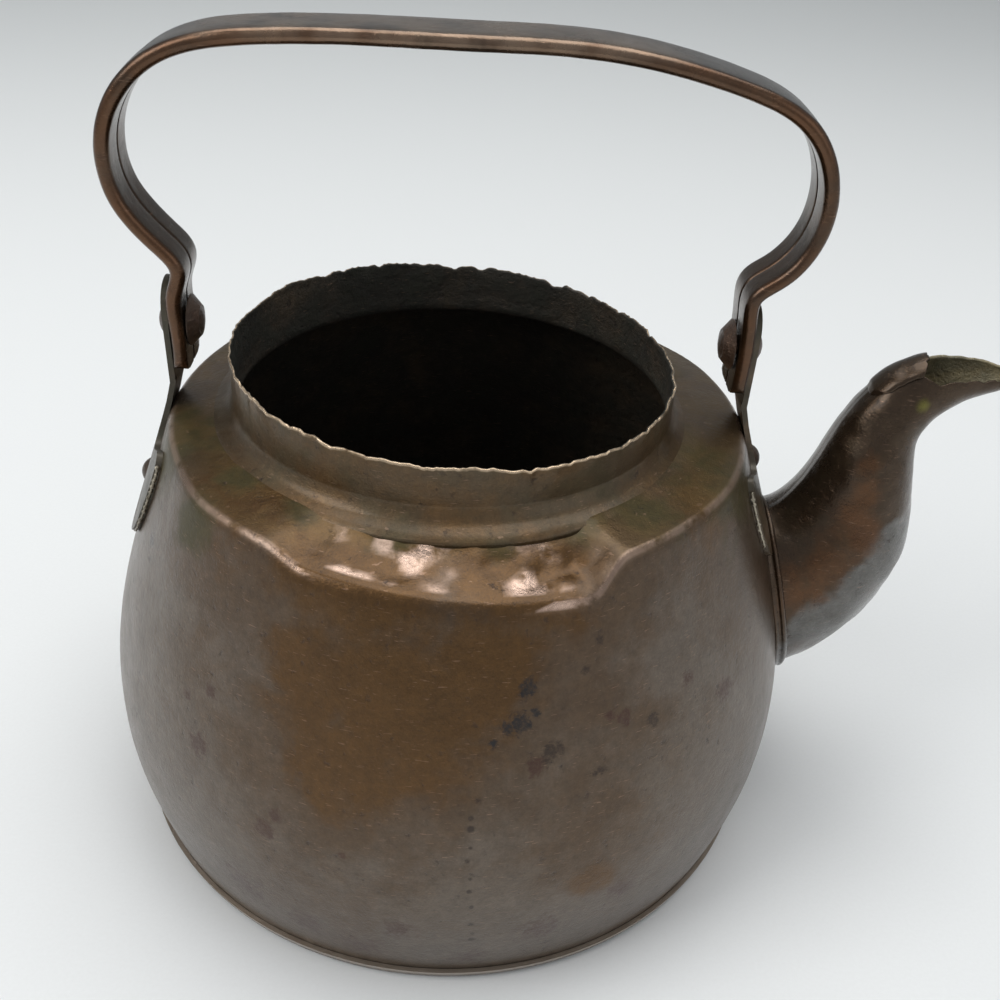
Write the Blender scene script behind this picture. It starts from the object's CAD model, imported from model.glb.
import math
import bpy
import bmesh
import numpy as np
from mathutils import Matrix, Vector, geometry, noise


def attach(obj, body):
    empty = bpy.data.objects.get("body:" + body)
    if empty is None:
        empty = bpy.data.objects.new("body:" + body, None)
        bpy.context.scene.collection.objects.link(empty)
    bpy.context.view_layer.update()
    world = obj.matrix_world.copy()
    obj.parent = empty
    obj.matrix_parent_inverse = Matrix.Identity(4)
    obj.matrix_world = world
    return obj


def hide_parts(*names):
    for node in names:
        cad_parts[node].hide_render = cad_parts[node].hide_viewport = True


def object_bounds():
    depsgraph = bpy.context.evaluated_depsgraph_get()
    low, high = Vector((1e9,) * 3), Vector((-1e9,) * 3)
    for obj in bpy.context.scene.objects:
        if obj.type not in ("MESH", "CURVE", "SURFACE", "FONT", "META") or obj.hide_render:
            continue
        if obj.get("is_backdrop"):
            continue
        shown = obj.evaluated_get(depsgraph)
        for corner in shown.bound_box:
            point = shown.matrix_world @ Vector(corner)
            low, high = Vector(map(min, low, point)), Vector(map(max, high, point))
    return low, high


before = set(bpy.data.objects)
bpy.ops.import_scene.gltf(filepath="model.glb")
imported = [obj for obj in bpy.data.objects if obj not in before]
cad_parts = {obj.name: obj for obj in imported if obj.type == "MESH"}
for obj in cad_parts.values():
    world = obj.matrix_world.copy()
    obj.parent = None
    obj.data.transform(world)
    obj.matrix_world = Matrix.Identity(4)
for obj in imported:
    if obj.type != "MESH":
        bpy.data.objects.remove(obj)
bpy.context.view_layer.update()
MM = 0.001

# Side line of the vessel's flank, as radius and height in millimetres: foot, belly and crease
FLANK = [(92, 0), (96.6, 15), (99.6, 33), (99.6, 50), (95, 74), (88.3, 95), (78.4, 124)]

# Thickness of the wall, and the heights of its outer foot, its inner foot and its crease
SHEET = 1.2
WALL_FOOT = 0.4
INNER_FLOOR = 1.3
CREASE_HEIGHT = 123.8

# Radius and height at which the shoulder ends under the neck band, and the neck's place along X
NECK_SEAT = (62.3, 126.2)
NECK_SHIFT = -1.9

# Line of the spout: centre in the XZ plane, half depth and half width
SPOUT = [
    (79.8, 57.5, 25.0, 20.0), (97.8, 70.0, 27.0, 20.0), (109.4, 82.5, 23.4, 19.0),
    (114.8, 99.0, 18.2, 16.0), (116.3, 116.0, 12.9, 13.0), (120.0, 129.0, 10.6, 10.0),
    (130.8, 138.0, 8.6, 7.0), (151.8, 141.0, 2.2, 2.6),
]

# Middle line of the hand-bent bail in the XZ plane: upright legs, outward bends, swells and the long bar
BAIL = [
    (-74.1, 135.2), (-74.1, 147), (-74, 157), (-72.5, 163.5), (-76.5, 169.5), (-85.5, 181.5), (-86.5, 199),
    (-74.5, 215), (-50, 221.5), (0, 222.5), (29.5, 222), (63, 215.5), (81, 206.5), (88.5, 189),
    (79.5, 168), (74.5, 163.5), (74.1, 157), (74.1, 135.2),
]

# The strap: breadth, thickness, rounding along its edges and rounding of its ends
STRAP_WIDE = 17.5
STRAP_THICK = 3.8
STRAP_CORNER = 1.86
STRAP_END_ROUND = 4.0

# Rows and columns of the modelled sheets
FLANK_ROWS = 64
BEND_ROWS = 8
SHOULDER_ROWS = 18
CREASE_ROW = FLANK_ROWS - 2 + BEND_ROWS // 2
WALL_COLUMNS = 288
NECK_ROWS = 18
NECK_COLUMNS = 540
SPOUT_COLUMNS = 96
FLAP_ROWS = 46
FLAP_COLUMNS = 34


def smooth_curve(points):
    """Natural cubic curve through points, as a function of shares from 0 to 1."""
    through = np.array(points, float)
    knots = np.concatenate([[0.0], np.cumsum(np.linalg.norm(np.diff(through[:, :2], axis=0), axis=1))])
    knots /= knots[-1]
    gaps = np.diff(knots)
    last = len(through) - 1
    slopes = np.diff(through, axis=0) / gaps[:, None]
    system = np.eye(last + 1)
    right = np.zeros_like(through)
    for i in range(1, last):
        system[i, i - 1:i + 2] = gaps[i - 1], 2 * (gaps[i - 1] + gaps[i]), gaps[i]
        right[i] = 3 * (slopes[i] - slopes[i - 1])
    bends = np.linalg.solve(system, right)

    def at(shares):
        shares = np.clip(np.atleast_1d(np.asarray(shares, float)), 0, 1)
        i = np.clip(np.searchsorted(knots, shares, side="right") - 1, 0, last - 1)
        gap = gaps[i][:, None]
        along = (shares - knots[i])[:, None]
        rise = (through[i + 1] - through[i]) / gap - gap * (2 * bends[i] + bends[i + 1]) / 3
        swing = (bends[i + 1] - bends[i]) / (3 * gap)
        return through[i] + along * (rise + along * (bends[i] + along * swing))

    return at


def ease(low, high, value):
    """Smooth step from 0 at low to 1 at high."""
    share = min(max((value - low) / (high - low), 0.0), 1.0)
    return share * share * (3 - 2 * share)


def lump(point, size, seed=0.0):
    """Gentle unevenness between -1 and 1 whose lumps are about size millimetres."""
    return noise.noise(Vector((point[0] / size + seed, point[1] / size + 2 * seed, point[2] / size - seed)))


def new_object(name, data):
    """An object in the scene that holds a mesh, a lamp or a camera."""
    made = bpy.data.objects.new(name, data)
    bpy.context.scene.collection.objects.link(made)
    return made


def finish_mesh(mesh_maker, name, body, materials, merge=0.00002):
    """Turns a bmesh into a smooth piece that rides on a body."""
    bmesh.ops.remove_doubles(mesh_maker, verts=mesh_maker.verts, dist=merge)
    bmesh.ops.recalc_face_normals(mesh_maker, faces=mesh_maker.faces)
    mesh = bpy.data.meshes.new(name)
    mesh_maker.to_mesh(mesh)
    mesh_maker.free()
    for material in materials:
        mesh.materials.append(material)
    for polygon in mesh.polygons:
        polygon.use_smooth = True
    piece = new_object(name, mesh)
    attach(piece, body)
    return piece


def grid_mesh(grid, wrap_rows, wrap_columns, inner_rows=()):
    """A bmesh of quads over rows and columns of points in millimetres, whose inner rows take material 1."""
    maker = bmesh.new()
    rows = [[maker.verts.new(Vector(point) * MM) for point in row] for row in grid]
    row_count = len(rows) if wrap_rows else len(rows) - 1
    column_count = len(rows[0]) if wrap_columns else len(rows[0]) - 1
    for i in range(row_count):
        here, after = rows[i], rows[(i + 1) % len(rows)]
        for j in range(column_count):
            k = (j + 1) % len(here)
            face = maker.faces.new((here[j], here[k], after[k], after[j]))
            face.material_index = 1 if i in inner_rows else 0
    return maker


def to_rows(columns):
    """The rows of a grid that is given as columns."""
    return [list(row) for row in zip(*columns)]


def column_at(azimuth, columns):
    """Number of the column nearest to an azimuth, where the first of them lies at -180 degrees."""
    return int(round((azimuth + 180) * columns / 360)) % columns


FLANK_RADII, FLANK_HEIGHTS = smooth_curve(FLANK)(np.linspace(0, 1, 400)).T


def flank_radius(height):
    """Outer radius of the even flank at a height, or at each of several."""
    return np.interp(height, FLANK_HEIGHTS, FLANK_RADII)


def flank_reach(height, breadth, off=0.0):
    """How far out the flank, or a place off it, lies at a height and a breadth from the middle plane."""
    radius = float(flank_radius(height)) + off
    return math.sqrt(radius * radius - breadth * breadth)


def off_flank(points):
    """How far each point of an array lies outside the flank."""
    return np.hypot(points[:, 0], points[:, 1]) - flank_radius(points[:, 2])


# Materials


def new_group(name, inputs, outputs):
    """An empty shader group with named inputs and outputs, and its two ends."""
    tree = bpy.data.node_groups.new(name, "ShaderNodeTree")
    for label, kind, value in inputs:
        socket = tree.interface.new_socket(name=label, in_out="INPUT", socket_type=kind)
        socket.default_value = value
    for label, kind in outputs:
        tree.interface.new_socket(name=label, in_out="OUTPUT", socket_type=kind)
    return tree, tree.nodes.new("NodeGroupInput"), tree.nodes.new("NodeGroupOutput")


def node(tree, kind, links=None, **settings):
    """A node with its settings, and its inputs by name or number, linked or given a value."""
    made = tree.nodes.new(kind)
    for key, value in settings.items():
        setattr(made, key, value)
    for key, value in (links or {}).items():
        if isinstance(value, bpy.types.NodeSocket):
            tree.links.new(value, made.inputs[key])
        else:
            made.inputs[key].default_value = value
    return made


def colour(red, green, blue):
    """A colour as the eye reads it, from 0 to 255, turned to light values."""
    light = [((c / 255 + 0.055) / 1.055) ** 2.4 if c > 10 else c / 3294.6 for c in (red, green, blue)]
    return (*light, 1.0)


def ramp(tree, source, low, high):
    """Smooth share of source between low and high."""
    made = node(tree, "ShaderNodeMapRange", {0: source, 1: low, 2: high, 3: 0.0, 4: 1.0})
    made.interpolation_type = "SMOOTHSTEP"
    return made.outputs[0]


def mix(tree, share, first, second, blend="MIX"):
    """Two colours mixed by a share."""
    made = node(tree, "ShaderNodeMix", data_type="RGBA", blend_type=blend, clamp_factor=True)
    for index, value in ((0, share), (6, first), (7, second)):
        if isinstance(value, bpy.types.NodeSocket):
            tree.links.new(value, made.inputs[index])
        else:
            made.inputs[index].default_value = value
    return made.outputs[2]


def math_node(tree, operation, first, second=0.5, clamp=False):
    """Arithmetic on two values."""
    made = node(tree, "ShaderNodeMath", {0: first, 1: second}, operation=operation, use_clamp=clamp)
    return made.outputs[0]


def plus(tree, first, second, clamp=False):
    """Sum of two values."""
    return math_node(tree, "ADD", first, second, clamp)


def minus(tree, first, second):
    """First value less the second."""
    return math_node(tree, "SUBTRACT", first, second)


def times(tree, first, second):
    """Product of two values."""
    return math_node(tree, "MULTIPLY", first, second)


def object_place(tree):
    """Object coordinates, in metres."""
    return node(tree, "ShaderNodeTexCoord").outputs["Object"]


def along_axis(tree, where, axis):
    """One of the coordinates of a place, by the number of its axis."""
    return node(tree, "ShaderNodeSeparateXYZ", {0: where}).outputs[axis]


def cloud(tree, where, scale, detail=4.0, rough=0.55, warp=0.0):
    """Noise over the surface, centred on a half."""
    made = node(tree, "ShaderNodeTexNoise", {"Vector": where, "Scale": scale, "Detail": detail})
    made.inputs["Roughness"].default_value = rough
    made.inputs["Distortion"].default_value = warp
    return made.outputs["Fac"]


def build_patina():
    """Old copper: brown skin with worn, greyed and green areas, dull blooms and fine pitting."""
    tree, start, end = new_group(
        "copper_patina",
        [
            ("Brown", "NodeSocketColor", colour(128, 84, 62)),
            ("Worn", "NodeSocketColor", colour(168, 104, 62)),
            ("Grey", "NodeSocketColor", colour(112, 92, 88)),
            ("Green", "NodeSocketColor", colour(86, 84, 58)),
            ("Worn share", "NodeSocketFloat", 0.3),
            ("Grey share", "NodeSocketFloat", 0.4),
            ("Green share", "NodeSocketFloat", 0.1),
            ("Shine", "NodeSocketFloat", 0.4),
        ],
        [("Color", "NodeSocketColor"), ("Roughness", "NodeSocketFloat"), ("Height", "NodeSocketFloat")],
    )
    where = object_place(tree)
    given = start.outputs
    broad = cloud(tree, where, 26.0, 5.0, 0.6, 0.6)
    middling = cloud(tree, where, 75.0, 6.0, 0.62, 0.3)
    fine = cloud(tree, where, 420.0, 5.0, 0.7)
    grain = cloud(tree, where, 1700.0, 3.0, 0.6)
    unevenness = minus(tree, times(tree, broad, 1.2), 0.6)
    streaks = minus(tree, times(tree, middling, 0.9), 0.45)
    drift = plus(tree, unevenness, streaks)
    grey = ramp(tree, plus(tree, given["Grey share"], drift), 0.2, 0.85)
    worn = ramp(tree, minus(tree, given["Worn share"], drift), 0.2, 0.8)
    green = ramp(tree, plus(tree, given["Green share"], streaks), 0.25, 0.8)
    skin = mix(tree, grey, given["Brown"], given["Grey"])
    skin = mix(tree, worn, skin, given["Worn"])
    skin = mix(tree, green, skin, given["Green"])
    grainy = plus(tree, times(tree, fine, 0.75), times(tree, grain, 0.5))
    blotchy = times(tree, cloud(tree, where, 130.0, 6.0, 0.72, 0.4), 0.6)
    mottle = plus(tree, plus(tree, grainy, blotchy), 0.07)
    mottle_tint = node(tree, "ShaderNodeCombineColor", {0: mottle, 1: mottle, 2: mottle}).outputs[0]
    skin = mix(tree, 1.0, skin, mottle_tint, "MULTIPLY")
    specks = ramp(tree, cloud(tree, where, 330.0, 5.0, 0.62), 0.6, 0.74)
    skin = mix(tree, times(tree, specks, 0.6), skin, colour(48, 36, 30))
    scratch_space = node(tree, "ShaderNodeMapping", {0: where, "Scale": (1.0, 1.0, 9.0)}).outputs[0]
    scratches = ramp(tree, cloud(tree, scratch_space, 310.0, 2.0, 0.6), 0.66, 0.71)
    skin = mix(tree, times(tree, scratches, 0.22), skin, colour(186, 150, 126))
    rough = minus(tree, 0.86, times(tree, given["Shine"], 0.9))
    rough = plus(tree, rough, times(tree, streaks, 0.4))
    rough = plus(tree, rough, times(tree, green, 0.2), clamp=True)
    height = plus(tree, times(tree, fine, 0.5), times(tree, grain, 0.25))
    height = plus(tree, height, times(tree, middling, 1.3))
    height = minus(tree, height, times(tree, specks, 0.35))
    tree.links.new(skin, end.inputs["Color"])
    tree.links.new(rough, end.inputs["Roughness"])
    tree.links.new(height, end.inputs["Height"])
    return tree


def build_stain():
    """A stain round a place: 1 inside, 0 outside, with a ragged edge."""
    tree, start, end = new_group(
        "stain",
        [
            ("Place", "NodeSocketVector", (0, 0, 0)),
            ("Radius", "NodeSocketFloat", 0.01),
            ("Soft", "NodeSocketFloat", 0.5),
            ("Ragged", "NodeSocketFloat", 0.3),
            ("Unevenness", "NodeSocketFloat", 0.5),
        ],
        [("Mask", "NodeSocketFloat")],
    )
    where = object_place(tree)
    given = start.outputs
    gap = node(tree, "ShaderNodeVectorMath", {0: where, 1: given["Place"]}, operation="DISTANCE")
    away = math_node(tree, "DIVIDE", gap.outputs["Value"], given["Radius"])
    edge = times(tree, minus(tree, given["Unevenness"], 0.5), times(tree, given["Ragged"], 8.0))
    away = plus(tree, away, edge)
    low = minus(tree, 1.0, given["Soft"])
    high = plus(tree, 1.0, given["Soft"])
    made = node(tree, "ShaderNodeMapRange", {0: away, 1: low, 2: high, 3: 1.0, 4: 0.0})
    made.interpolation_type = "SMOOTHSTEP"
    tree.links.new(made.outputs[0], end.inputs["Mask"])
    return tree


patina = build_patina()
stain = build_stain()


def metal(name, metallic, bump, colours, shares, shine, bump_distance=0.0006):
    """A copper material: the patina group into a Principled shader. Returns what stains are laid over."""
    material = bpy.data.materials.new(name)
    material.use_nodes = True
    tree = material.node_tree
    tree.nodes.clear()
    output = tree.nodes.new("ShaderNodeOutputMaterial")
    shader = tree.nodes.new("ShaderNodeBsdfPrincipled")
    tree.links.new(shader.outputs[0], output.inputs[0])
    skin = node(tree, "ShaderNodeGroup", node_tree=patina)
    for label, value in zip(("Brown", "Worn", "Grey", "Green"), colours):
        skin.inputs[label].default_value = colour(*value)
    for label, value in zip(("Worn share", "Grey share", "Green share"), shares):
        skin.inputs[label].default_value = value
    skin.inputs["Shine"].default_value = shine
    shader.inputs["Metallic"].default_value = metallic
    shader.inputs["Coat Weight"].default_value = 0.3
    shader.inputs["Coat Roughness"].default_value = 0.24
    relief = node(tree, "ShaderNodeBump", {"Height": skin.outputs["Height"]})
    relief.inputs["Strength"].default_value = bump
    relief.inputs["Distance"].default_value = bump_distance
    tree.links.new(skin.outputs["Color"], shader.inputs["Base Color"])
    tree.links.new(skin.outputs["Roughness"], shader.inputs["Roughness"])
    tree.links.new(relief.outputs[0], shader.inputs["Normal"])
    return material, tree, shader, skin


def add_mask(tree, places, unevenness, soft, ragged):
    """The strongest of several areas, each with a place x, y, z and a radius in millimetres."""
    share = None
    for x, y, z, radius in places:
        spot = node(tree, "ShaderNodeGroup", {}, node_tree=stain)
        spot.inputs["Place"].default_value = (x * MM, y * MM, z * MM)
        spot.inputs["Radius"].default_value = radius * MM
        spot.inputs["Soft"].default_value = soft
        spot.inputs["Ragged"].default_value = ragged
        tree.links.new(unevenness, spot.inputs["Unevenness"])
        share = spot.outputs[0] if share is None else math_node(tree, "MAXIMUM", share, spot.outputs[0])
    return share


def add_rub(tree, shader, base, skin, tint, strength):
    """Lays a paler, smoother rub over the places that the rub attribute marks."""
    mark = node(tree, "ShaderNodeAttribute", attribute_name="rub").outputs["Fac"]
    broken = ramp(tree, cloud(tree, object_place(tree), 160.0, 4.0, 0.6), 0.3, 0.55)
    mark = times(tree, mark, times(tree, broken, strength))
    tree.links.new(mix(tree, mark, base, tint), shader.inputs["Base Color"])
    smoother = minus(tree, skin.outputs["Roughness"], times(tree, mark, 0.2))
    tree.links.new(smoother, shader.inputs["Roughness"])


# Brown, worn, grey and green of the vessel, as the eye reads them
BROWNS = ((84, 67, 50), (86, 60, 28), (98, 87, 76), (72, 64, 36))

# Areas of the skin: a place x, y, z and a radius in millimetres
WORN_PLACES = [
    (-8, -88, 92, 21), (-32, -80, 96, 15), (10, -85, 103, 15), (-24, -90, 76, 14), (-20, -66, 125, 24),
    (-50, -48, 125, 18), (14, -70, 123, 18), (62, -42, 123, 10), (38, -90, 40, 7),
]
GREY_PLACES = [
    (-76, -54, 66, 34), (-64, -76, 32, 36), (72, -68, 52, 34), (3, -97, 18, 44), (60, -68, 98, 18),
    (0, 100, 50, 90),
]
GREEN_PLACES = [
    (-72, -24, 124, 16), (-61, -26, 126, 13), (68, -30, 124, 17), (58, -21, 126, 13), (46, -52, 125, 10),
    (-51, -39, 126, 9), (-50, 45, 125, 30), (45, 50, 125, 32), (0, 66, 125, 26), (-14, -62, 126, 7),
    (12, -63, 126, 6), (30, -54, 126, 8), (-34, -53, 126, 8), (-66, -52, 118, 10), (74, -20, 110, 10),
    (-80, 10, 108, 14),
]

# Stains on the front of the flank: breadth to the right, height and radius
REDDISH = [
    (43, 86, 1.9), (39.5, 87.5, 1.4), (-58, 82, 1.7), (-65, 77, 1.3), (-44, 52, 2.6), (-41, 58, 1.8),
    (-62, 66, 3), (-24, 52, 0.9), (72, 78, 3), (60, 88, 1.8), (22, 79, 2.2),
]
LOW_SMEARS = [(-34, 18, 4), (-10, 27, 3), (26, 24, 4), (47, 32, 3), (-52, 24, 5), (-20, 14, 4), (8, 12, 3)]
BLUE_BLACK = [
    (18, 98.5, 2), (19.5, 99.5, 1.5), (17, 90.5, 2.3), (14.5, 89.5, 1.6), (11, 86, 1.3), (21, 92.5, 1.2),
]
DARK = [
    (50.5, 82.5, 1.9), (25.5, 82.5, 2), (24.5, 79.5, 1.3), (38, 74.5, 1.1), (36.5, 74, 0.9),
    (35, 107, 1.4), (32.5, 100.5, 1.1), (-79, 100, 1.6),
]
DRIPS = [
    (6.8, 67, 0.8), (6.9, 64, 1), (7.1, 58.5, 0.6), (6.4, 54.5, 0.8), (7.5, 48.5, 0.6),
    (7.2, 44, 0.7), (8.1, 38, 0.6), (8.2, 30.5, 0.8), (8.8, 26, 0.6), (8.5, 23, 0.9),
]
RED_BROWN = colour(66, 40, 32)
DARK_BROWN = colour(46, 36, 30)
INK_BLUE = colour(32, 34, 38)

# Where a tint sets in, in metres: up the shoulder, up the pan's edge, out to the strap's edges, up its bar
SHOULDER_TINT = (0.1215, 0.1245)
PAN_EDGE_TINT = (0.0012, 0.0036)
STRAP_EDGE_TINT = (0.0068, 0.0082)
BAR_TOP_TINT = (0.2195, 0.2235)


def body_material():
    """Outer skin of the vessel, with its worn front, greyed sides and the stains that the years left."""
    material, tree, shader, skin = metal("body_copper", 0.78, 0.55, BROWNS, (), 0.56)
    where = object_place(tree)
    wide_edge = cloud(tree, where, 90.0, 6.0, 0.65, 0.3)
    fine_edge = cloud(tree, where, 520.0, 4.0, 0.65, 0.5)
    worn = add_mask(tree, WORN_PLACES, wide_edge, 0.8, 0.18)
    greyed = add_mask(tree, GREY_PLACES, wide_edge, 0.75, 0.2)
    greened = add_mask(tree, GREEN_PLACES, wide_edge, 0.85, 0.23)
    shoulder = ramp(tree, along_axis(tree, where, 2), *SHOULDER_TINT)
    golden = times(tree, shoulder, ramp(tree, wide_edge, 0.35, 0.6))
    tree.links.new(times(tree, worn, 0.85), skin.inputs["Worn share"])
    tree.links.new(plus(tree, times(tree, greyed, 0.5), 0.2), skin.inputs["Grey share"])
    tree.links.new(times(tree, greened, 0.75), skin.inputs["Green share"])
    base = mix(tree, times(tree, golden, 0.5), skin.outputs["Color"], colour(104, 82, 46))
    broken = ramp(tree, cloud(tree, where, 1100.0, 3.0, 0.7), 0.3, 0.6)
    for stains, tint, strength, soft, ragged in (
        (REDDISH, RED_BROWN, 0.75, 0.5, 0.4),
        (LOW_SMEARS, RED_BROWN, 0.75, 0.95, 0.8),
        (DARK, DARK_BROWN, 0.8, 0.5, 0.45),
        (DRIPS, DARK_BROWN, 0.8, 0.4, 0.17),
        (BLUE_BLACK, INK_BLUE, 0.9, 0.5, 0.45),
    ):
        places = [(across, -flank_reach(height, across), height, radius) for across, height, radius in stains]
        share = times(tree, add_mask(tree, places, fine_edge, soft, ragged), strength)
        share = times(tree, share, plus(tree, times(tree, broken, 0.45), 0.55))
        base = mix(tree, share, base, tint)
    add_rub(tree, shader, base, skin, colour(204, 176, 158), 0.8)
    return material


def pan_material():
    """Skin of the pan, whose turned-up edge is pale and bright."""
    material, tree, shader, skin = metal("pan_copper", 0.78, 0.55, BROWNS, (0.2, 0.7, 0.1), 0.5)
    edge = ramp(tree, along_axis(tree, object_place(tree), 2), *PAN_EDGE_TINT)
    bright = mix(tree, edge, skin.outputs["Color"], colour(176, 164, 150))
    tree.links.new(bright, shader.inputs["Base Color"])
    return material


def neck_material():
    """Skin of the neck band, with a rubbed rim."""
    browns = ((88, 70, 47), (106, 78, 44), (92, 81, 66), (74, 68, 42))
    material, tree, shader, skin = metal("neck_copper", 0.75, 0.5, browns, (0.3, 0.35, 0.35), 0.5)
    add_rub(tree, shader, skin.outputs["Color"], skin, colour(206, 182, 152), 1.2)
    return material


# Areas and stain of the spout's skin: a place x, y, z and a radius in millimetres
SPOUT_GREY = [(106, -17, 50, 13), (111, -18, 66, 13), (119, -14, 78, 11), (124, -12, 92, 9), (116, 0, 56, 20)]
SPOUT_WORN = [
    (100, -19, 80, 7), (106, -18, 88, 7), (112, -16, 99, 7), (114, -14, 110, 5), (112, -12, 118, 4),
]
SPOUT_STAIN = [(125, -8, 135, 2)]


def spout_material():
    """The spout's skin: brown above, rubbed orange on its side and clean grey under the belly."""
    browns = ((66, 52, 38), (84, 56, 32), (98, 96, 93), (62, 58, 38))
    material, tree, shader, skin = metal("spout_copper", 0.85, 0.5, browns, (0.2, 0.0, 0.25), 0.66)
    wide_edge = cloud(tree, object_place(tree), 90.0, 5.0, 0.6, 0.3)
    greyed = add_mask(tree, SPOUT_GREY, wide_edge, 0.32, 0.08)
    worn = add_mask(tree, SPOUT_WORN, wide_edge, 0.75, 0.22)
    tree.links.new(plus(tree, times(tree, greyed, 0.85), 0.1), skin.inputs["Grey share"])
    tree.links.new(plus(tree, times(tree, worn, 0.45), 0.15), skin.inputs["Worn share"])
    stained = times(tree, add_mask(tree, SPOUT_STAIN, wide_edge, 0.6, 0.3), 0.7)
    base = mix(tree, stained, skin.outputs["Color"], colour(116, 112, 50))
    add_rub(tree, shader, base, skin, colour(150, 128, 100), 0.8)
    return material


def bail_material():
    """The strap's skin: satin brown, redder along its edges and rubbed on top of the bar."""
    browns = ((64, 49, 36), (86, 58, 34), (72, 65, 56), (52, 48, 34))
    material, tree, shader, skin = metal("bail_copper", 0.85, 0.3, browns, (0.3, 0.3, 0.1), 0.68)
    where = object_place(tree)
    across = math_node(tree, "ABSOLUTE", along_axis(tree, where, 1))
    patchy = ramp(tree, cloud(tree, where, 60.0), 0.3, 0.6)
    edge = times(tree, ramp(tree, across, *STRAP_EDGE_TINT), patchy)
    base = mix(tree, times(tree, edge, 0.45), skin.outputs["Color"], colour(110, 72, 42))
    broken = ramp(tree, cloud(tree, where, 90.0, 4.0), 0.25, 0.6)
    rubbed = times(tree, ramp(tree, along_axis(tree, where, 2), *BAR_TOP_TINT), broken)
    base = mix(tree, times(tree, rubbed, 0.6), base, colour(150, 128, 108))
    tree.links.new(base, shader.inputs["Base Color"])
    return material


def even_metal(name, metallic, bump, *finish):
    """A copper material with nothing laid over its patina, from the same values as metal."""
    return metal(name, metallic, bump, *finish)[0]


INSIDE_TINTS = ((46, 42, 33), (78, 64, 46), (34, 34, 29), (54, 56, 42))
BEAK_TINTS = ((112, 106, 84), (172, 158, 124), (124, 122, 106), (98, 98, 72))
EAR_TINTS = ((70, 60, 46), (110, 90, 68), (82, 78, 68), (56, 56, 40))
RIVET_TINTS = ((72, 54, 42), (104, 76, 56), (78, 70, 60), (54, 52, 40))
SOLDER_TINTS = ((128, 120, 104), (176, 168, 150), (110, 104, 94), (84, 84, 62))

body_copper = body_material()
pan_copper = pan_material()
neck_copper = neck_material()
spout_copper = spout_material()
bail_copper = bail_material()
inside_black = even_metal("inside_black", 0.2, 1.0, INSIDE_TINTS, (0.3, 0.4, 0.35), 0.14, 0.0022)
beak_green = even_metal("beak_green", 0.5, 1.0, BEAK_TINTS, (0.5, 0.35, 0.3), 0.45, 0.0014)
ear_copper = even_metal("ear_copper", 0.6, 0.5, EAR_TINTS, (0.3, 0.4, 0.4), 0.45)
rivet_copper = even_metal("rivet_copper", 0.7, 1.0, RIVET_TINTS, (0.3, 0.35, 0.25), 0.5, 0.0012)
solder = even_metal("solder", 0.8, 0.6, SOLDER_TINTS, (0.45, 0.3, 0.3), 0.6)


def mark_rub(piece, share_at):
    """Writes the rub attribute, from 0 to 1, by a function of the point in millimetres."""
    mesh = piece.data
    marks = mesh.attributes.new("rub", "FLOAT", "POINT")
    marks.data.foreach_set("value", [share_at(vertex.co / MM) for vertex in mesh.vertices])


# Body wall

# The knock at the front: its reach in degrees round the vessel, and a place and depth near each end
DENT_REACH = (-124, -56)
DENT_LEFT = (-116, 3.0)
DENT_RIGHT = (-64, 8.3)


def dent_drop(azimuth):
    """How far the knock at the front pressed the crease down, by degrees round the vessel."""
    if not DENT_REACH[0] < azimuth < DENT_REACH[1]:
        return 0.0
    left, shallow = DENT_LEFT
    right, deep = DENT_RIGHT
    depth = shallow + (azimuth - left) * (deep - shallow) / (right - left)
    return depth * ease(-124, -114, azimuth) * (1 - ease(-65.5, -56.5, azimuth))


def wall_outline(azimuth):
    """Outer side line of the wall at one azimuth, from the foot over the crease to the neck's seat."""
    turn = math.radians(azimuth)
    drop = dent_drop(azimuth)
    wander = 0.5 * noise.noise(Vector((math.cos(turn) * 3, math.sin(turn) * 3, 4.0)))
    crease = CREASE_HEIGHT - drop + wander * (drop < 0.1)
    heights = WALL_FOOT + (crease - WALL_FOOT) * np.linspace(0, 1, FLANK_ROWS) ** 0.92
    line = list(zip(flank_radius(heights), heights))
    low, corner = line[-3], line[-1]
    up = tuple(c + (s - c) * 0.11 for c, s in zip(corner, NECK_SEAT))
    line = line[:-2]
    for share in np.linspace(0, 1, BEND_ROWS + 1)[1:]:
        a, b, c = (1 - share) ** 2, 2 * share * (1 - share), share**2
        line.append(tuple(a * low[k] + b * corner[k] + c * up[k] for k in (0, 1)))
    for share in np.linspace(0, 1, SHOULDER_ROWS + 1)[1:]:
        line.append(tuple(u + (s - u) * share for u, s in zip(up, NECK_SEAT)))
    return line, drop


def wall_give(place, radius, drop, ear_free):
    """How far the hammer and the knock moved the wall outwards, held back at its edges and by the ears."""
    z = place[2]
    hold = ease(3, 14, z) * (1 - 0.85 * (1 - ear_free) * ease(60, 88, z))
    seat_near = ease(63.4, 66.5, radius) if z > 110 else 1.0
    give = -0.45 * (0.5 + 0.5 * lump(place, 34, 3.1)) - 0.16 * abs(lump(place, 11, 8.3))
    if drop > 0.3 and radius < 79 and z > 112:
        folds = 1.1 * lump(place, 7.5, 1.7) + 0.5 * lump(place, 3.6, 5.9)
        buckled = drop / 8 * folds * ease(64, 68, radius) * (1 - ease(75, 78.5, radius))
        pressed = drop * 0.16 * ease(63, 70, radius) * (1 - ease(73, 79, radius))
        give += buckled - pressed
    return give * (hold * seat_near)


def wall_shift(radius, z, ear_free):
    """How far the wall leans along X with the neck: not low down, and by the ears only close to the neck."""
    free = ear_free if radius > 66 else ear_free + (1 - ear_free) * (1 - ease(62.5, 66, radius))
    return NECK_SHIFT * ease(55, 122, z) * free


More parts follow.
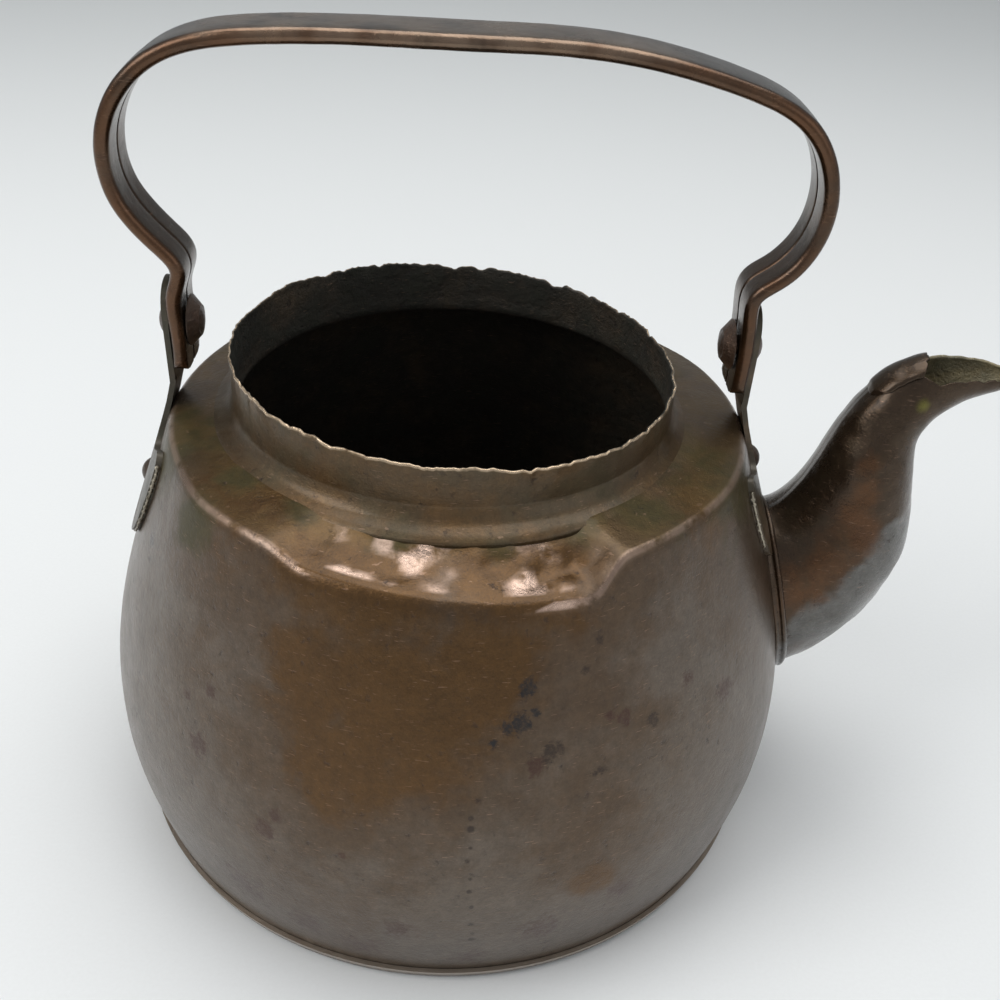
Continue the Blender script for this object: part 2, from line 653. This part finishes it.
def wall_column(azimuth):
    """Outer and inner points of the wall at one azimuth, from its foot to the neck."""
    turn = math.radians(azimuth)
    line, drop = wall_outline(azimuth)
    line = np.array(line)
    run = np.gradient(line, axis=0)
    run /= np.linalg.norm(run, axis=1)[:, None]
    ear_free = 1 - ease(0.74, 0.94, abs(math.cos(turn)))
    outer, inner = [], []
    for (radius, z), (run_r, run_z) in zip(line, run):
        place = (radius * math.cos(turn), radius * math.sin(turn), z)
        give = wall_give(place, radius, drop, ear_free)
        shift = wall_shift(radius, z, ear_free)
        for points, moved, lowest in ((outer, give, 0), (inner, give - SHEET, INNER_FLOOR)):
            reach = radius + run_z * moved
            height = max(z - run_r * moved, lowest)
            points.append((reach * math.cos(turn) + shift, reach * math.sin(turn), height))
    return outer, inner


def make_wall():
    """The raised vessel: one sheet, uneven from the hammer, knocked in at the front shoulder."""
    outer_columns, inner_columns = [], []
    for j in range(WALL_COLUMNS):
        outer, inner = wall_column(j * 360 / WALL_COLUMNS - 180)
        outer_columns.append(outer)
        inner_columns.append(inner[::-1][::2] + [inner[0]])
    outer_rows = to_rows(outer_columns)
    grid = outer_rows + to_rows(inner_columns)
    maker = grid_mesh(grid, True, True, range(len(outer_rows), len(grid)))
    piece = finish_mesh(maker, "wall", "vessel", [body_copper, inside_black])
    open_spout_way(piece)
    crease = outer_rows[CREASE_ROW]

    def near_crease(point):
        azimuth = math.degrees(math.atan2(point.y, point.x - NECK_SHIFT * 0.5))
        away = math.dist(crease[column_at(azimuth, WALL_COLUMNS)], point)
        along = ease(-117, -112, azimuth) * (1 - ease(-70, -64, azimuth))
        crest = 0.0
        if along > 0 and point.z > 112 and math.hypot(point.x, point.y) < 77:
            crest = along * ease(0.0, 0.36, lump((point.x, point.y, 0), 6.5, 2.9))
        return max((1 - ease(0.3, 1.5, away)) * (0.4 + 0.6 * along), crest)

    mark_rub(piece, near_crease)
    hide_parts("body_shell")


def open_spout_way(piece):
    """Cuts the oval way from the vessel into the spout."""
    shares = np.linspace(*WAY_SHARES, 12)
    turns = np.linspace(0, 2 * math.pi, 48, endpoint=False)
    maker = grid_mesh(to_rows([spout_point(shares, turn, -1) for turn in turns]), False, True)
    bmesh.ops.holes_fill(maker, edges=maker.edges)
    bmesh.ops.recalc_face_normals(maker, faces=maker.faces)
    mesh = bpy.data.meshes.new("way_cutter")
    maker.to_mesh(mesh)
    maker.free()
    cutter = new_object("way_cutter", mesh)
    cut = piece.modifiers.new("way", "BOOLEAN")
    cut.operation = "DIFFERENCE"
    cut.solver = "EXACT"
    cut.object = cutter
    settle(piece)
    bpy.data.objects.remove(cutter)


def settle(piece):
    """Replaces a piece's mesh with its finished form and takes its modifiers off."""
    graph = bpy.context.evaluated_depsgraph_get()
    done = bpy.data.meshes.new_from_object(piece.evaluated_get(graph))
    piece.modifiers.clear()
    piece.data = done


# Neck band

# Nicks in the rim: azimuth, half breadth in degrees and depth
NICKS = [
    (92, 3.4, 1.6), (84, 1.6, 1.0), (101, 5, 0.8), (-118, 2.2, 1.0), (-150, 2.4, 0.9), (-24, 2.5, 0.8),
    (60, 2.0, 0.8), (132, 2.2, 0.7),
]
RIM_HIGHEST = 143.4
NECK_RADIUS = 59.5
FLARE_TOP = 129.9
NECK_SHEET = 0.6


def rim_height(azimuth, ring):
    """Height of the torn rim, which leans down towards the spout."""
    ragged = 0.5 * lump(ring, 14, 2.2) + 0.3 * lump(ring, 3.6, 7.7) + 0.38 * lump(ring, 1.1, 3.7)
    ragged = ragged - 2.0 * max(lump(ring, 3.4, 4.9) - 0.3, 0) - 1.3 * max(lump(ring, 1.4, 8.1) - 0.35, 0)
    for at, wide, deep in NICKS:
        ragged -= deep * math.exp(-(((azimuth - at) / wide) ** 2))
    return min(141.0 - 0.04 * ring.x - 0.004 * ring.y + ragged, RIM_HIGHEST)


def neck_outline(azimuth, ring):
    """Side line of the neck band at one azimuth: up its outer face from the foot, and down its inner face."""
    rim = rim_height(azimuth, ring)
    lean = 0.6 * lump(ring, 9, 9.4) + 0.5 * lump(ring, 2.6, 6.4)
    sunk = 0.12 * dent_drop(azimuth)
    foot = [
        (66.0, 124.6 - sunk), (65.2, 125.35 - 0.6 * sunk), (63.6, 126.05), (62.0, 126.75), (60.6, 127.9),
        (59.75, FLARE_TOP),
    ]
    upright = []
    for i in range(1, NECK_ROWS + 1):
        share = i / NECK_ROWS
        z = FLARE_TOP + (rim - FLARE_TOP) * share
        bulge = 0.35 * lump((ring.x, ring.y, z * 1.5), 13, 5.1) * share * (1.2 - share)
        upright.append((NECK_RADIUS + bulge + lean * share**3, z))
    crown_r, crown_z = upright[-1]
    crown = [(crown_r - NECK_SHEET * 0.25, crown_z + 0.12), (crown_r - NECK_SHEET * 0.75, crown_z + 0.1)]
    down = [(r - NECK_SHEET - 0.2 * (1 - ease(138, 141, z)), z) for r, z in reversed(upright)]
    hidden = [(58.5, 128.0), (58.6, 126.6), (59.3, 125.6), (60.8, 125.0), (63.5, 124.6)]
    return foot + upright, crown + down + hidden


def make_neck():
    """The neck band, whose rim is torn and bent from use."""
    columns = []
    for j in range(NECK_COLUMNS):
        azimuth = j * 360 / NECK_COLUMNS - 180
        turn = math.radians(azimuth)
        around = (math.cos(turn), math.sin(turn))
        outer, inner = neck_outline(azimuth, Vector((around[0] * 60, around[1] * 60, 0)))
        columns.append([(r * around[0] + NECK_SHIFT, r * around[1], z) for r, z in outer + inner])
    grid = to_rows(columns)
    maker = grid_mesh(grid, True, True, range(len(outer) + 1, len(grid) - 2))
    piece = finish_mesh(maker, "neck_band", "vessel", [neck_copper, inside_black])
    rims = [max(point[2] for point in column) for column in columns]

    def near_rim(point):
        azimuth = math.degrees(math.atan2(point.y, point.x - NECK_SHIFT))
        below = rims[column_at(azimuth, NECK_COLUMNS)] - point.z
        return (1 - ease(0.15, 0.6, below)) * (1.0 if point.y < 8 else 0.35)

    mark_rub(piece, near_rim)
    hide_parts("neck_collar")


# Spout

spout_line = smooth_curve(SPOUT)

# Shares of the spout's line: the way cut through the wall, the last row of the tube, the first of the beak
WAY_SHARES = (0.06, 0.27)
THROAT_SHARE = 0.72
BEAK_SHARE = 0.73
TUBE_ROWS = 66
BEAK_ROWS = 58

# Profile of the root band: how far each of its edges lies off the flank and off the tube
BAND_SIDE = [
    (-0.3, 0.15), (-0.3, 1.25), (0.1, 1.3), (0.45, 1.05), (0.8, 0.7), (1.2, 0.5), (1.6, 0.62), (1.95, 0.9),
    (2.3, 0.98), (2.65, 0.85), (2.95, 0.55), (3.15, 0.2), (3.2, -0.1),
]


def spout_point(share, angle, grow):
    """Points on the spout moved outwards by grow, at shares of its line and at one angle from the top."""
    shares = np.asarray(share, float)
    here = spout_line(shares)
    ahead = spout_line(shares + 1e-3) - spout_line(shares - 1e-3)
    run = ahead[:, :2] / np.linalg.norm(ahead[:, :2], axis=1)[:, None]
    deep, wide = (here[:, 2] + grow) * math.cos(angle), (here[:, 3] + grow) * math.sin(angle)
    return np.stack([here[:, 0] - run[:, 1] * deep, wide, here[:, 1] + run[:, 0] * deep], -1)


def spout_root(angle):
    """Share of the spout's line at which its wall comes out of the flank, at an angle from the top."""
    shares = np.linspace(0.01, 0.42, 240)
    away = off_flank(spout_point(shares, angle, 0))
    return shares[int(np.argmax(away > -0.7))]


def beak_opening(x, side):
    """Angle from the top at which the beak's wall ends, in radians; 0 where the tube is closed."""
    throat, tip = (0.62, 0.25) if side > 0 else (1.2, 0.3)
    open_share = ease(124.5, 130.5, x) * throat + tip * ease(131, 148, x)
    torn = 0.12 * lump((x, side * 20, 1.0), 3.2, 4.4) + 0.09 * lump((x, side * 20, 1.0), 1.3, 2.4)
    return max(open_share + torn * ease(126, 129, x), 0.0)


def spout_sheet(share, turn, side):
    """Outer and inner point of the hammered tube, from a share of its line and a turn from the top edge."""
    x = float(spout_line(share)[0, 0])
    gap = beak_opening(x, side)
    angle = gap + (math.pi - gap) * turn / math.pi if side > 0 else turn - gap * (turn / math.pi - 1)
    place = spout_point([share], angle, 0)[0]
    uneven = 0.55 * lump(place, 13, 6.2) + 0.22 * lump(place, 5, 1.4)
    give = uneven * ease(102, 108, place[0]) * (1 - ease(146, 151, place[0])) - 0.35
    thick = 1.0 - 0.35 * ease(126, 140, x)
    return spout_point([share], angle, give)[0], spout_point([share], angle, give - thick)[0]


def make_spout():
    """The swan-neck tube, hammered from sheet, its beak open on top and torn along the edges."""
    outer_columns, inner_columns = [], []
    for j in range(SPOUT_COLUMNS + 1):
        turn = 2 * math.pi * j / SPOUT_COLUMNS
        side = 1 if j * 2 < SPOUT_COLUMNS else -1
        root = spout_root(turn)
        tube = root + (THROAT_SHARE - root) * np.linspace(0, 1, TUBE_ROWS)
        beak = np.linspace(BEAK_SHARE, 1.0, BEAK_ROWS)
        outer, inner = zip(*[spout_sheet(share, turn, side) for share in np.concatenate([tube, beak])])
        outer_columns.append(outer)
        inner_columns.append(inner)
    grid = [outer + inner[::-1] for outer, inner in zip(to_rows(outer_columns), to_rows(inner_columns))]
    maker = grid_mesh(grid, False, True)
    close_ends(maker, len(grid), SPOUT_COLUMNS)
    maker.faces.index_update()
    width = len(grid[0])
    for face in maker.faces:
        on_sheet = face.index < (len(grid) - 1) * width
        face.material_index = 1 if on_sheet and face.index % width > SPOUT_COLUMNS else 0
    piece = finish_mesh(maker, "spout_tube", "vessel", [spout_copper, beak_green], 0.00001)
    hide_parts("spout_shell")


def close_ends(maker, row_count, columns):
    """Closes both ends of a sheet laid as an outer run of columns and the same run back on its inner face."""
    maker.verts.ensure_lookup_table()
    width = 2 * (columns + 1)
    for base in (0, (row_count - 1) * width):
        for j in range(columns):
            maker.faces.new([maker.verts[base + k] for k in (j, j + 1, width - 2 - j, width - 1 - j)])


def make_spout_band():
    """The narrow band round the spout's root: two ridges pressed from one strip, soldered to the flank."""
    shares = np.linspace(0.02, 0.42, 240)
    rings = [[] for _ in BAND_SIDE]
    for turn in np.linspace(0, 2 * math.pi, 144, endpoint=False):
        for ring, (off, grow) in zip(rings, BAND_SIDE):
            points = spout_point(shares, turn, grow)
            away = off_flank(points)
            edge = off + 0.15 * lump((math.cos(turn) * 20, math.sin(turn) * 20, off), 6, 2.7)
            i = int(np.argmax(away > edge))
            between = (edge - away[i - 1]) / (away[i] - away[i - 1])
            ring.append(points[i - 1] + (points[i] - points[i - 1]) * between)
    maker = grid_mesh(rings, True, True)
    piece = finish_mesh(maker, "spout_band", "vessel", [spout_copper])
    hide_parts("spout_collar")


def flap_sheet(along, across):
    """Outer and inner point of the flap, from a share along the spout and a place across from -1 to 1."""
    reach_in = 0.02 * (1 - abs(across) ** 3)
    first = 0.735 - reach_in + 0.004 * lump((across * 6, 0, 1), 2, 4.1)
    ragged = 0.003 * lump((across * 6, 3, 1), 1.5, 1.1)
    last = 0.818 - 0.014 * abs(across) ** 4 + ragged - 0.006 * (across < -0.3)
    share = first + (last - first) * along
    angle = across * (0.62 + 0.1 * along + 0.04 * lump((along * 10, across, 0), 2, 6.3))
    curled = 0.55 * ease(0.6, 1.0, along) * (0.5 - 0.5 * across)
    lift = 0.25 + curled + 0.12 * lump((along * 12, across * 5, 2), 3, 3.8)
    edge_thin = 0.35 * ease(0.86, 1.0, abs(across))
    rise = (lift + 0.62 - edge_thin) * ease(-0.2, 0.4, along) - 0.5 * (1 - ease(0.0, 0.12, along))
    under = min(lift, 0.5) - 0.9 + 0.75 * ease(0.5, 0.9, along)
    return spout_point([share], angle, rise)[0], spout_point([share], angle, under)[0]


def make_flap():
    """The lapped end of the seam strip on top of the throat, its free corner lifted and worn."""
    grid = []
    for i in range(FLAP_ROWS + 1):
        places = [j / FLAP_COLUMNS * 2 - 1 for j in range(FLAP_COLUMNS + 1)]
        outer, inner = zip(*[flap_sheet(i / FLAP_ROWS, across) for across in places])
        grid.append(outer + inner[::-1])
    maker = grid_mesh(grid, False, True)
    close_ends(maker, len(grid), FLAP_COLUMNS)
    piece = finish_mesh(maker, "seam_flap", "vessel", [spout_copper])
    mark_rub(piece, lambda point: ease(128.2, 129.4, point.x) * 0.8)
    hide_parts("spout_top_strip")


# Solder

# Heights in millimetres: where an ear's foot bends away from the flank, and where its solder ends
EAR_BEND = 121
SOLDER_TOP = 116


def build_bead_line():
    """Geometry nodes: a lumpy line of solder along a path, a thin run with drops of many sizes on it."""
    tree = bpy.data.node_groups.new("bead_line", "GeometryNodeTree")
    for label, kind, value in (
        ("Geometry", "NodeSocketGeometry", None), ("Spacing", "NodeSocketFloat", 0.0016),
        ("Drop size", "NodeSocketFloat", 0.0007), ("Run size", "NodeSocketFloat", 0.0004),
        ("Seed", "NodeSocketInt", 3), ("Material", "NodeSocketMaterial", None),
    ):
        socket = tree.interface.new_socket(name=label, in_out="INPUT", socket_type=kind)
        if value is not None:
            socket.default_value = value
    tree.interface.new_socket(name="Geometry", in_out="OUTPUT", socket_type="NodeSocketGeometry")
    given = tree.nodes.new("NodeGroupInput").outputs
    end = tree.nodes.new("NodeGroupOutput")
    path = node(tree, "GeometryNodeMeshToCurve", {"Mesh": given["Geometry"]}).outputs["Curve"]
    ring = node(tree, "GeometryNodeCurvePrimitiveCircle", {"Resolution": 8, "Radius": given["Run size"]})
    fine_path = node(tree, "GeometryNodeResampleCurve", {"Curve": path, "Length": 0.0007}, mode="LENGTH")
    run = node(tree, "GeometryNodeCurveToMesh",
               {"Curve": fine_path.outputs[0], "Profile Curve": ring.outputs[0], "Fill Caps": True})
    place = tree.nodes.new("GeometryNodeInputPosition").outputs[0]
    uneven = node(tree, "ShaderNodeTexNoise", {"Vector": place, "Scale": 900.0, "Detail": 2.0})
    half = (0.5, 0.5, 0.5)
    centred = node(tree, "ShaderNodeVectorMath", {0: uneven.outputs["Color"], 1: half}, operation="SUBTRACT")
    moved = node(tree, "ShaderNodeVectorMath", {0: centred.outputs[0], "Scale": 0.0006}, operation="SCALE")
    run = node(tree, "GeometryNodeSetPosition", {"Geometry": run.outputs[0], "Offset": moved.outputs[0]})
    spots = node(tree, "GeometryNodeResampleCurve", {"Curve": path, "Length": given["Spacing"]},
                 mode="LENGTH")
    drop = node(tree, "GeometryNodeMeshIcoSphere", {"Radius": given["Drop size"], "Subdivisions": 3})
    sizes = node(tree, "FunctionNodeRandomValue", {"Seed": given["Seed"]}, data_type="FLOAT_VECTOR")
    sizes.inputs[0].default_value = (0.35, 0.35, 0.35)
    sizes.inputs[1].default_value = (1.2, 1.2, 1.2)
    turns = node(tree, "FunctionNodeRandomValue", {"Seed": given["Seed"]}, data_type="FLOAT_VECTOR")
    turns.inputs[1].default_value = (6.28, 6.28, 6.28)
    drops = node(tree, "GeometryNodeInstanceOnPoints",
                 {"Points": spots.outputs[0], "Instance": drop.outputs[0],
                  "Scale": sizes.outputs[0], "Rotation": turns.outputs[0]})
    both = tree.nodes.new("GeometryNodeJoinGeometry")
    tree.links.new(run.outputs[0], both.inputs[0])
    tree.links.new(drops.outputs[0], both.inputs[0])
    real = node(tree, "GeometryNodeRealizeInstances", {0: both.outputs[0]})
    smooth = node(tree, "GeometryNodeSetShadeSmooth", {0: real.outputs[0]})
    dressed = node(tree, "GeometryNodeSetMaterial",
                   {"Geometry": smooth.outputs[0], "Material": given["Material"]})
    tree.links.new(dressed.outputs[0], end.inputs["Geometry"])
    return tree


def make_beads(name, paths, slot, material, **sizes):
    """A solder line along paths of points in millimetres, riding on the vessel."""
    mesh = bpy.data.meshes.new(name)
    points, edges = [], []
    for path in paths:
        edges += [(len(points) + i, len(points) + i + 1) for i in range(len(path) - 1)]
        points += [Vector(point) * MM for point in path]
    mesh.from_pydata(points, edges, [])
    piece = new_object(name, mesh)
    lay = piece.modifiers.new("solder", "NODES")
    lay.node_group = bead_line
    sizes["Material"] = material
    for item in bead_line.interface.items_tree:
        if item.in_out == "INPUT" and item.name in sizes:
            lay[item.identifier] = sizes[item.name]
    settle(piece)
    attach(piece, "vessel")


def ear_edge(name, side, low, high, front):
    """The edge of an ear's foot from low to high, on its front or back half, taken from the ear itself."""
    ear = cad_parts[name]
    corners = [ear.matrix_world @ vertex.co / MM for vertex in ear.data.vertices]
    flat = [Vector((point.y, point.z)) for point in corners if point.z < EAR_BEND]
    ring = [flat[i] for i in geometry.convex_hull_2d(flat)]
    half = sorted({(round(abs(point.x), 2), round(point.y, 2)) for point in ring if (point.x < 0) == front},
                  key=lambda pair: (pair[1], pair[0]))
    heights = np.arange(low, high, 1.0)
    breadths = np.interp(heights, [z for y, z in half], [y for y, z in half]) + 0.2
    return [(side * flank_reach(z, y, 0.8), -y if front else y, z) for y, z in zip(breadths, heights)]


bead_line = build_bead_line()


# Bail

def strap_section():
    """Outline of the strap across its run: outward and sideways, with rounded edges and an inner seam."""
    half_thick, half_wide = STRAP_THICK / 2, STRAP_WIDE / 2
    points = []
    for centre_out, first in ((half_thick - STRAP_CORNER, 0), (-half_thick + STRAP_CORNER, 90)):
        for step in range(7):
            turn = math.radians(first + step * 15)
            points.append((centre_out + STRAP_CORNER * math.cos(turn),
                           half_wide - STRAP_CORNER + STRAP_CORNER * math.sin(turn)))
    for rise, side in ((0, 4.5), (0, 2.0), (0, 0.9), (0.05, 0.45), (0.45, 0.16), (0.6, 0.0)):
        points.append((-half_thick + rise, side))
    other = [(out, -side) for out, side in reversed(points[:-1])]
    return points + other + [(half_thick, -4.5), (half_thick, 0.0), (half_thick, 4.5)]


def make_bail():
    """The strap handle, bent by hand, with its edges folded to a seam on the inner face."""
    # Rows lie closer together at both ends, where the strap is rounded
    shares = np.concatenate([
        np.linspace(0, 0.02, 9)[:-1], np.linspace(0.02, 0.98, 300), np.linspace(0.98, 1, 9)[1:]])
    line = smooth_curve(BAIL)
    here = line(shares)
    ahead = line(shares + 5e-4) - line(shares - 5e-4)
    run = ahead / np.linalg.norm(ahead, axis=1)[:, None]
    length = np.concatenate([[0], np.cumsum(np.linalg.norm(np.diff(here, axis=0), axis=1))])
    section = strap_section()
    half_wide = STRAP_WIDE / 2
    grid = []
    for (x, z), (run_x, run_z), gone in zip(here, run, length):
        end_gap = min(gone, length[-1] - gone)
        cut = half_wide
        if end_gap < STRAP_END_ROUND:
            bend = math.sqrt(1 - max(1 - end_gap / STRAP_END_ROUND, 0) ** 2)
            cut = half_wide - STRAP_END_ROUND + STRAP_END_ROUND * bend
        sway = 0.25 * lump((x, 0, z), 40, 5.5)
        row = []
        for out, side in section:
            side = max(min(side, cut), -cut)
            uneven = 0.16 * lump((x, side, z), 16, 3.3) + 0.08 * lump((x, side, z), 5, 8.8)
            bowed = 0.2 * (1 - (side / half_wide) ** 2) * (1 if out > 0 else 0)
            reach = out * (1 + uneven / 3 * (abs(side) > 1.2)) + bowed
            row.append((x - run_z * reach, side * (1 + 0.008 * uneven) + sway, z + run_x * reach))
        grid.append(row)
    maker = grid_mesh(grid, False, True)
    maker.verts.ensure_lookup_table()
    width = len(section)
    for base in (0, (len(grid) - 1) * width):
        maker.faces.new([maker.verts[base + k] for k in range(width)])
    piece = finish_mesh(maker, "strap", "bail", [bail_copper])
    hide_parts("bail")


def dress(name, material):
    """Gives a CAD node its material."""
    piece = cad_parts[name]
    piece.data.materials.clear()
    piece.data.materials.append(material)


dress("bottom_pan", pan_copper)
for side in ("right", "left"):
    dress(side + "_ear", ear_copper)
    for fastener in ("_ear_rivet", "_ear_rove", "_pivot_rivet", "_pivot_washer"):
        dress(side + fastener, rivet_copper)

make_wall()
make_neck()
make_spout()
make_spout_band()
make_flap()
make_bail()
for ear, side, low, spacing, seed in (("left_ear", -1, 91, 0.0019, 5), ("right_ear", 1, 97, 0.0017, 9)):
    paths = [ear_edge(ear, side, low, SOLDER_TOP, front) for front in (True, False)]
    make_beads(ear + "_solder", paths, "copper_ears", solder, Spacing=spacing, Seed=seed)


# Floor, light and camera

def plain_material(name, tint):
    """A pale matt cloth: the tint close to the kettle, greyer further back, with a faint cloudy weave."""
    material = bpy.data.materials.new(name)
    material.use_nodes = True
    tree = material.node_tree
    shader = tree.nodes["Principled BSDF"]
    where = object_place(tree)
    weave = times(tree, cloud(tree, where, 900.0, 2.0), 0.25)
    far = mix(tree, ramp(tree, along_axis(tree, where, 1), -0.1, 1.2), tint, colour(206, 209, 208))
    tree.links.new(mix(tree, weave, far, colour(214, 214, 212)), shader.inputs["Base Color"])
    shader.inputs["Roughness"].default_value = 0.9
    shader.inputs["Specular IOR Level"].default_value = 0.1
    return material


# Floor in metres: half breadth, start and radius of the bend, height at the back, gap under the kettle
FLOOR_HALF = 9.0
FLOOR_BEND = 1.6
BACK_RADIUS = 1.2
BACK_HEIGHT = 4.0
FLOOR_DROP = 0.00005


def make_floor():
    """A wide pale floor that curves up behind."""
    maker = bmesh.new()
    line = [(-FLOOR_HALF, 0.0), (FLOOR_BEND, 0.0)]
    for step in range(1, 13):
        turn = math.radians(step * 7.5)
        line.append((FLOOR_BEND + BACK_RADIUS * math.sin(turn), BACK_RADIUS - BACK_RADIUS * math.cos(turn)))
    line.append((FLOOR_BEND + BACK_RADIUS, BACK_HEIGHT))
    rows = [[maker.verts.new((x, y, z - FLOOR_DROP)) for x in (-FLOOR_HALF, FLOOR_HALF)] for y, z in line]
    for low, high in zip(rows, rows[1:]):
        maker.faces.new((low[0], low[1], high[1], high[0]))
    mesh = bpy.data.meshes.new("floor")
    maker.to_mesh(mesh)
    maker.free()
    floor = new_object("floor", mesh)
    mesh.materials.append(plain_material("pale_cloth", colour(234, 236, 235)))
    for polygon in mesh.polygons:
        polygon.use_smooth = True
    floor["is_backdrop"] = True


# Where the lamps aim, in metres
KETTLE_MIDDLE = (0, 0, 0.1)


def make_lamp(name, place, size, power):
    """A soft area lamp at a place, aimed at the middle of the kettle."""
    lamp = bpy.data.lights.new(name, "AREA")
    lamp.shape = "RECTANGLE"
    lamp.size, lamp.size_y = size
    lamp.energy = power
    holder = new_object(name, lamp)
    holder.location = place
    holder.rotation_euler = (Vector(KETTLE_MIDDLE) - Vector(place)).to_track_quat("-Z", "Y").to_euler()


def make_world():
    """Even pale surroundings."""
    world = bpy.data.worlds.new("pale_room")
    bpy.context.scene.world = world
    world.use_nodes = True
    tree = world.node_tree
    light = tree.nodes["Background"]
    light.inputs["Strength"].default_value = 0.46
    light.inputs["Color"].default_value = (0.93, 0.95, 1.0, 1.0)
    shown = node(tree, "ShaderNodeBackground", {"Color": colour(222, 225, 225), "Strength": 1.0})
    path = tree.nodes.new("ShaderNodeLightPath")
    both = tree.nodes.new("ShaderNodeMixShader")
    tree.links.new(path.outputs["Is Camera Ray"], both.inputs[0])
    tree.links.new(light.outputs[0], both.inputs[1])
    tree.links.new(shown.outputs[0], both.inputs[2])
    tree.links.new(both.outputs[0], tree.nodes["World Output"].inputs[0])


# Where the photograph was taken from, in millimetres, its three turns in degrees and its lens
CAMERA_PLACE = (1.33, -290.18, 288.85)
CAMERA_PITCH = 33.93
CAMERA_YAW = 2.228
CAMERA_ROLL = 3.622
CAMERA_LENS = 43.2


def make_camera():
    """The camera where the photograph was taken from."""
    pitch, yaw, roll = math.radians(CAMERA_PITCH), math.radians(CAMERA_YAW), math.radians(CAMERA_ROLL)
    ahead = Vector((math.sin(yaw) * math.cos(pitch), math.cos(yaw) * math.cos(pitch), -math.sin(pitch)))
    level_right = Vector((math.cos(yaw), -math.sin(yaw), 0))
    level_up = level_right.cross(ahead)
    right = level_right * math.cos(roll) + level_up * math.sin(roll)
    up = level_up * math.cos(roll) - level_right * math.sin(roll)
    lens = bpy.data.cameras.new("camera")
    lens.sensor_width = 36.0
    lens.lens = CAMERA_LENS
    lens.clip_start = 0.01
    camera = new_object("camera", lens)
    turn = Matrix((right, up, -ahead)).transposed().to_4x4()
    camera.matrix_world = Matrix.Translation(Vector(CAMERA_PLACE) * MM) @ turn
    bpy.context.scene.camera = camera


make_floor()
make_lamp("ceiling", (0.1, 0.25, 1.5), (1.6, 1.2), 15)
make_lamp("window", (-1.1, -0.5, 1.1), (0.8, 0.9), 9)
make_lamp("fill", (1.2, -0.9, 0.7), (0.9, 0.9), 1.6)
make_world()
make_camera()
make_world()
make_camera()
bpy.context.scene.view_settings.view_transform = "Standard"

low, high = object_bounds()
